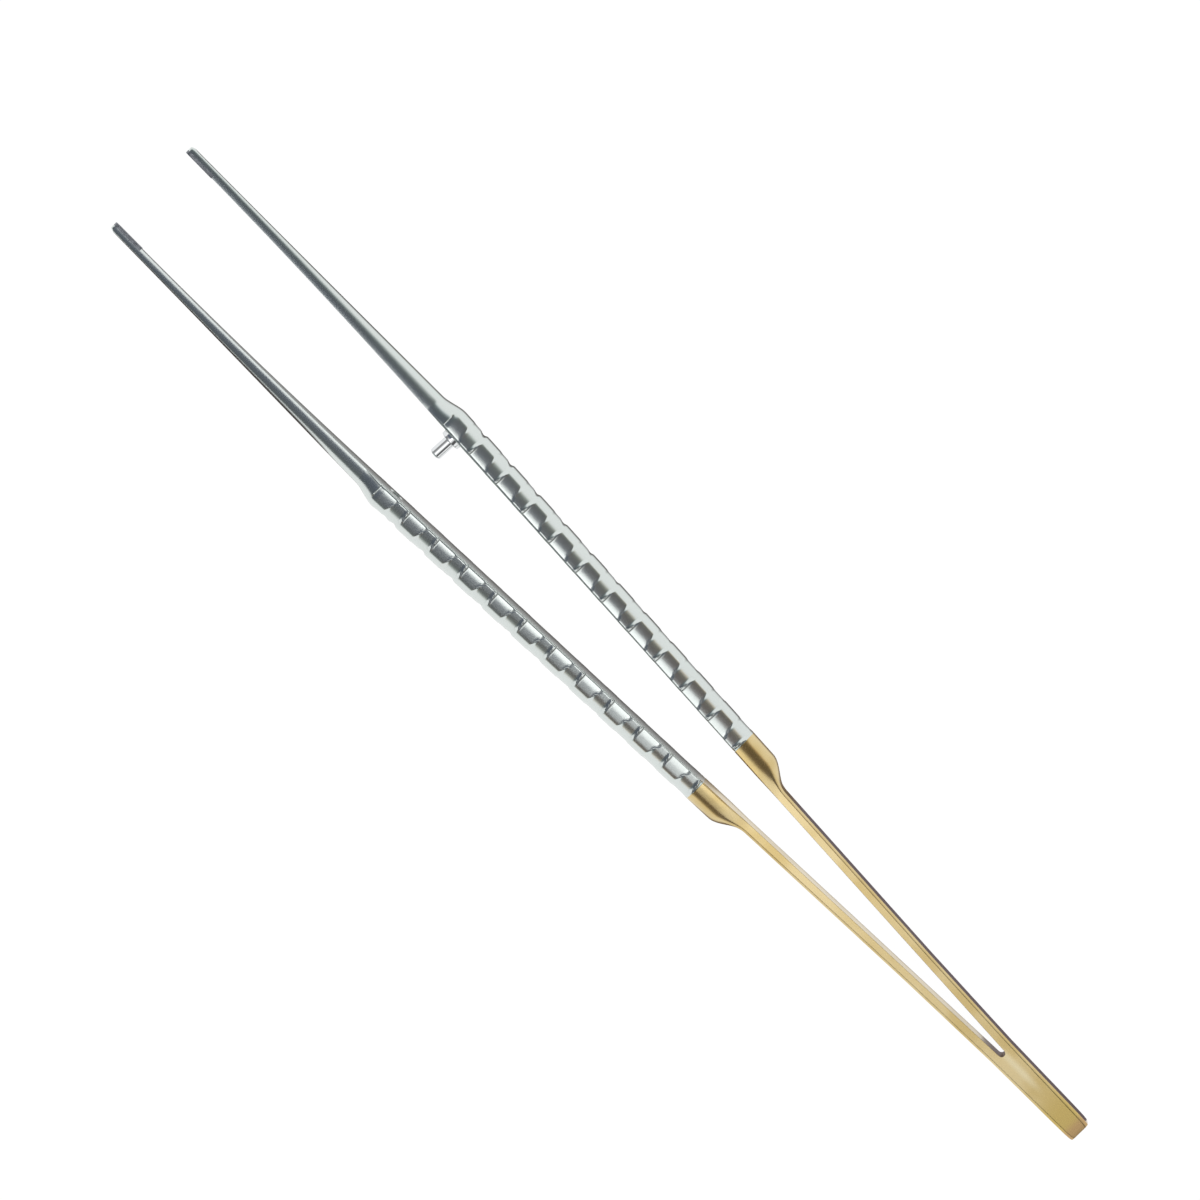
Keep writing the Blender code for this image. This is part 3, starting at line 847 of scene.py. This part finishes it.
# Contact shade: how dark it is from its inner border across the arm to its outer one, where 0 is the
# inner flat and 1 the arm's outside, its tones along the arm, and how far it reaches to both sides
SHADE_ACROSS = (-1.0, -0.8, -0.6, -0.35, 0.0, 1.0, 1.35, 1.6, 1.8, 2.0)
SHADE_SHARE = (0.0, 0.2, 0.4, 0.6, 1.0, 1.0, 1.0, 0.5, 0.1, 0.0)
TONE_STATIONS = (LEAF_END - 0.004, LEAF_END, PLAIN_END, PLAIN_END + 0.001)
TONES = ((0.150, 0.132, 0.180), (0.175, 0.128, 0.090), (0.175, 0.128, 0.090), (0.085, 0.072, 0.068))
REACH_STATIONS = (0.068, 0.071, 0.078, 0.082, 0.150, 0.160, 0.180, 0.198, 0.208)
REACH_OUTSIDE = {
    PIN_SIDE: (0.0052, 0.0052, 0.0052, 0.0052, 0.0052, 0.0066, 0.0115, 0.018, 0.026),
    HOLE_SIDE: (0.0018, 0.0180, 0.0060, 0.0018, 0.0018, 0.0040, 0.060, 0.120, 0.120),
}
REACH_INSIDE = {PIN_SIDE: 0.0010, HOLE_SIDE: 0.0030}
REACH_INSIDE_LEAF = 0.0003
SHADE_HEIGHT = {PIN_SIDE: 0.00002, HOLE_SIDE: 0.00003}


def make_contact_shade():
    """The dark between each arm and the table, as its metal shows it: a strip that lies along the arm and
    fades out to both sides, full under the arm and none a little way off. The two strips lie at different
    heights, so they share no plane where they cross."""
    material, tree, output = empty_material("contact_shade")
    dark = tree.nodes.new("ShaderNodeEmission")
    tree.links.new(attribute_node(tree, "tone").outputs["Color"], dark.inputs["Color"])
    clear = tree.nodes.new("ShaderNodeBsdfTransparent")
    mix = tree.nodes.new("ShaderNodeMixShader")
    tree.links.new(attribute_node(tree, "share").outputs["Fac"], mix.inputs[0])
    tree.links.new(clear.outputs[0], mix.inputs[1])
    tree.links.new(dark.outputs[0], mix.inputs[2])
    tree.links.new(mix.outputs[0], output.inputs[0])
    station = np.linspace(0.0, OVERALL_LENGTH, 120)
    leaf = 1 - smooth_step(station, LEAF_END, SHOULDER_END)
    thick = (round_size(station)[1] * (1 - leaf) + leaf_thickness(station) * leaf)[:, None]
    across = np.array(SHADE_ACROSS)
    tones = colours_at(station, TONE_STATIONS, TONES).repeat(len(across), axis=0)
    near_slot = 1 - smooth_step(station, JOINED_LENGTH + 0.0003, JOINED_LENGTH + 0.0040)
    wide = np.maximum(near_slot, smooth_step(station, SHOULDER_END, PLAIN_END + 0.003))
    for side in (PIN_SIDE, HOLE_SIDE):
        inside = (REACH_INSIDE_LEAF + (REACH_INSIDE[side] - REACH_INSIDE_LEAF) * wide)[:, None]
        outside = np.interp(station, REACH_STATIONS, REACH_OUTSIDE[side])[:, None]
        past_arm = np.where(across >= 1, thick + (across - 1) * outside, thick * across)
        out = np.where(across <= 0, across * inside, past_arm)
        up = np.full_like(out, SHADE_HEIGHT[side] - HANDLE_RADIUS)
        sheet = stage_mesh("contact_shade", placed(station[:, None], out, up, side), material)
        set_points(sheet, "share", np.tile(SHADE_SHARE, len(station)))
        set_points(sheet, "tone", tones)
        only_in_metal(sheet)


# Cards: a tube round the X axis, part softbox and part dark. Its long borders are angles from overhead at
# the places CARD_X, the pin arm's side positive
CARD_RADIUS = 0.6
CARD_X = (-0.30, -0.20, -0.12, -0.06, -0.045, -0.038, -0.034, 0.09, 0.12, 0.145, 0.17, 0.27, 0.45)
SOFTBOX_PIN_SIDE = (34, 34, 34, 27, 24, 23, 23.5, 8, 2, -3, -6, -6, -6)
SOFTBOX_HOLE_SIDE = (-48, -48, -48, -60, -58, -54, -34, -18, -18, -22, -26, -26, -26)
PIN_SIDE_END = (78, 78, 78, 78, 78, 78, 78, 79, 73, 67, 61, 61, 61)
HOLE_SIDE_END = (-86, -86, -86, -90, -92, -92, -86, -96, -120, -120, -120, -120, -120)
SOFTBOX_LEVELS = (0.12, 0.85, 0.92, 1.15, 1.2, 1.2, 1.65, 1.7, 1.5, 1.3, 1.1, 0.8, 0.3)
WHITE = (1.0, 1.0, 1.0)
DARK_TONES = [(0.0, (0.30, 0.32, 0.37)), (0.05, (0.17, 0.18, 0.21)), (0.5, (0.13, 0.138, 0.15)),
              (0.78, (0.16, 0.175, 0.17)), (0.90, (0.38, 0.41, 0.395)), (1.0, (0.78, 0.83, 0.80))]
WARM, COOL = (1.50, 1.02, 0.68), (0.80, 0.84, 0.90)
DARK_TINTS = [WHITE] * 3 + [WARM] * 3 + [WHITE] * 3 + [COOL] * 4


def make_card(name, low, high, tones, tints):
    """A curved studio card over the forceps, part of a tube round the X axis. Its two long edges are given
    as angles from overhead, the pin arm's side positive, at the stations CARD_X, and its tone runs through
    the given colours from the first edge to the second, times a tint given at those stations."""
    material, tree, output = empty_material(name)
    ramp = tree.nodes.new("ShaderNodeValToRGB")
    stops = ramp.color_ramp.elements
    while len(stops) < len(tones):
        stops.new(0.5)
    for stop, (position, colour) in zip(stops, tones):
        stop.position = position
        stop.color = (*colour, 1.0)
    tree.links.new(attribute_node(tree, "share").outputs["Fac"], ramp.inputs[0])
    tint = attribute_node(tree, "tint").outputs["Color"]
    glow = tree.nodes.new("ShaderNodeEmission")
    tree.links.new(colour_mix(tree, 1.0, ramp.outputs[0], tint, "MULTIPLY"), glow.inputs["Color"])
    tree.links.new(glow.outputs[0], output.inputs[0])
    share = np.linspace(0.0, 1.0, 33)
    stretches = ((-0.9, -0.2, 15), (-0.18, 0.2, 77), (0.24, 1.2, 13))
    x = np.concatenate([np.linspace(*stretch) for stretch in stretches])
    start = np.radians(np.interp(x, CARD_X, low))[:, None]
    stop = np.radians(np.interp(x, CARD_X, high))[:, None]
    angle = start + (stop - start) * share
    points = np.stack([np.broadcast_to(x[:, None], angle.shape), -CARD_RADIUS * np.sin(angle),
                       CARD_RADIUS * np.cos(angle)], axis=-1)
    card = stage_mesh(name, points, material)
    set_points(card, "share", np.tile(share, len(x)))
    set_points(card, "tint", np.repeat(colours_at(x, CARD_X, tints), len(share), axis=0))
    only_in_metal(card)


def make_lamp():
    """One broad soft lamp overhead for the table's light and the object's soft shadow."""
    lamp = bpy.data.lights.new("overhead", "AREA")
    lamp.shape = "RECTANGLE"
    lamp.size, lamp.size_y = 1.6, 1.0
    lamp.energy = 2.2
    lamp.color = (1.0, 1.0, 1.0)
    obj = bpy.data.objects.new("overhead", lamp)
    obj.location = (-0.1, 0.1, 1.1)
    obj.visible_glossy = False
    bpy.context.collection.objects.link(obj)


CAMERA_TILT = math.radians(5.2)
CAMERA_DISTANCE = 0.95
FRAME_WIDTH = 0.1904
SENSOR_WIDTH = 36.0


def make_camera():
    """Camera at the photograph's angle: nearly overhead, leaning to the pin arm's side, the forceps running
    from the lower right to the upper left. The lens shows FRAME_WIDTH at its distance."""
    along = Vector((1.0, 0.0, 0.0))
    across = Vector((0.0, -math.cos(CAMERA_TILT), -math.sin(CAMERA_TILT)))
    back = Vector((0.0, -math.sin(CAMERA_TILT), math.cos(CAMERA_TILT)))
    right = -0.7016 * along + 0.7126 * across
    up = 0.7126 * along + 0.7016 * across
    aim = Vector((0.0, 0.0, HANDLE_RADIUS)) - right * 0.00245 + up * 0.00933
    camera = bpy.data.objects.new("camera", bpy.data.cameras.new("camera"))
    camera.data.sensor_width = SENSOR_WIDTH
    camera.data.lens = SENSOR_WIDTH * CAMERA_DISTANCE / FRAME_WIDTH
    camera.data.clip_start, camera.data.clip_end = 0.01, 20.0
    turn = Matrix((right, up, back)).transposed()
    camera.matrix_world = Matrix.Translation(aim + back * CAMERA_DISTANCE) @ turn.to_4x4()
    bpy.context.collection.objects.link(camera)
    bpy.context.scene.camera = camera


make_world()
make_floor()
make_contact_shade()
softbox_tints = [[level] * 3 for level in SOFTBOX_LEVELS]
make_card("softbox", SOFTBOX_HOLE_SIDE, SOFTBOX_PIN_SIDE, [(0.0, WHITE), (1.0, WHITE)], softbox_tints)
make_card("dark_card_pin_side", SOFTBOX_PIN_SIDE, PIN_SIDE_END, DARK_TONES, DARK_TINTS)
make_card("dark_card_hole_side", SOFTBOX_HOLE_SIDE, HOLE_SIDE_END, DARK_TONES, DARK_TINTS)
make_lamp()
make_camera()
bpy.context.scene.view_settings.view_transform = "Standard"
